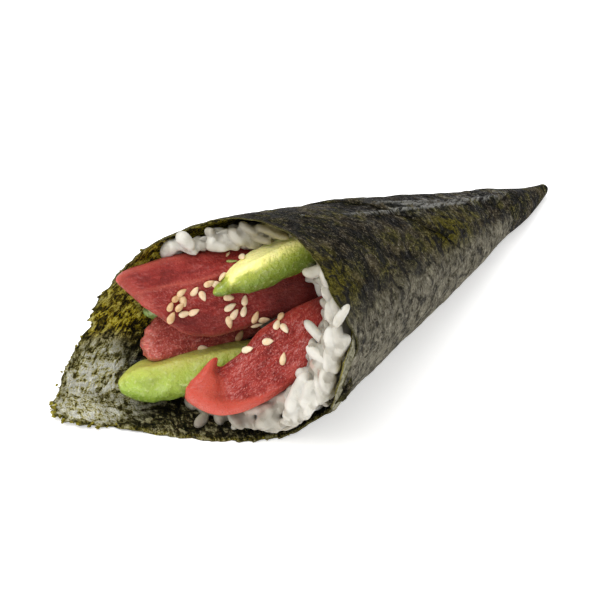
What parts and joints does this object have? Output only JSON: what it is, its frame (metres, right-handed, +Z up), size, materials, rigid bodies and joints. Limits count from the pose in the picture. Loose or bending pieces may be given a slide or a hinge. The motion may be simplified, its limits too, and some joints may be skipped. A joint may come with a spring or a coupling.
{
  "type": "hand roll",
  "caption": "Cone of rolled seaweed lying on its side, open at the wide end, filled with rice, raw fish slices and avocado wedges.",
  "frame": {"origin": "middle of the footprint of the bounding box, on the table the roll lies on", "axes": "+X from the open mouth to the closed tip, along the roll; +Y to the back, where the tongue of seaweed turns up; +Z up from the table"},
  "size_m": [0.1422, 0.066, 0.0492],
  "materials": {
    "nori": "dry roasted seaweed, black-green with olive patches, slightly glossy outside and rough inside",
    "rice": "cooked short-grain rice, white, moist and slightly translucent",
    "tuna": "raw tuna, moist dark red with fine pale fibres, translucent at the edges",
    "avocado": "ripe avocado flesh, moist, yellow on the cut face and green towards the skin side"
  },
  "bodies": {
    "root": {"nori": "nori", "rice": "rice", "tuna_back": "tuna", "tuna_low": "tuna", "tuna_front": "tuna", "avocado_top": "avocado", "avocado_low": "avocado", "avocado_end": "avocado"}
  },
  "joints": []
}
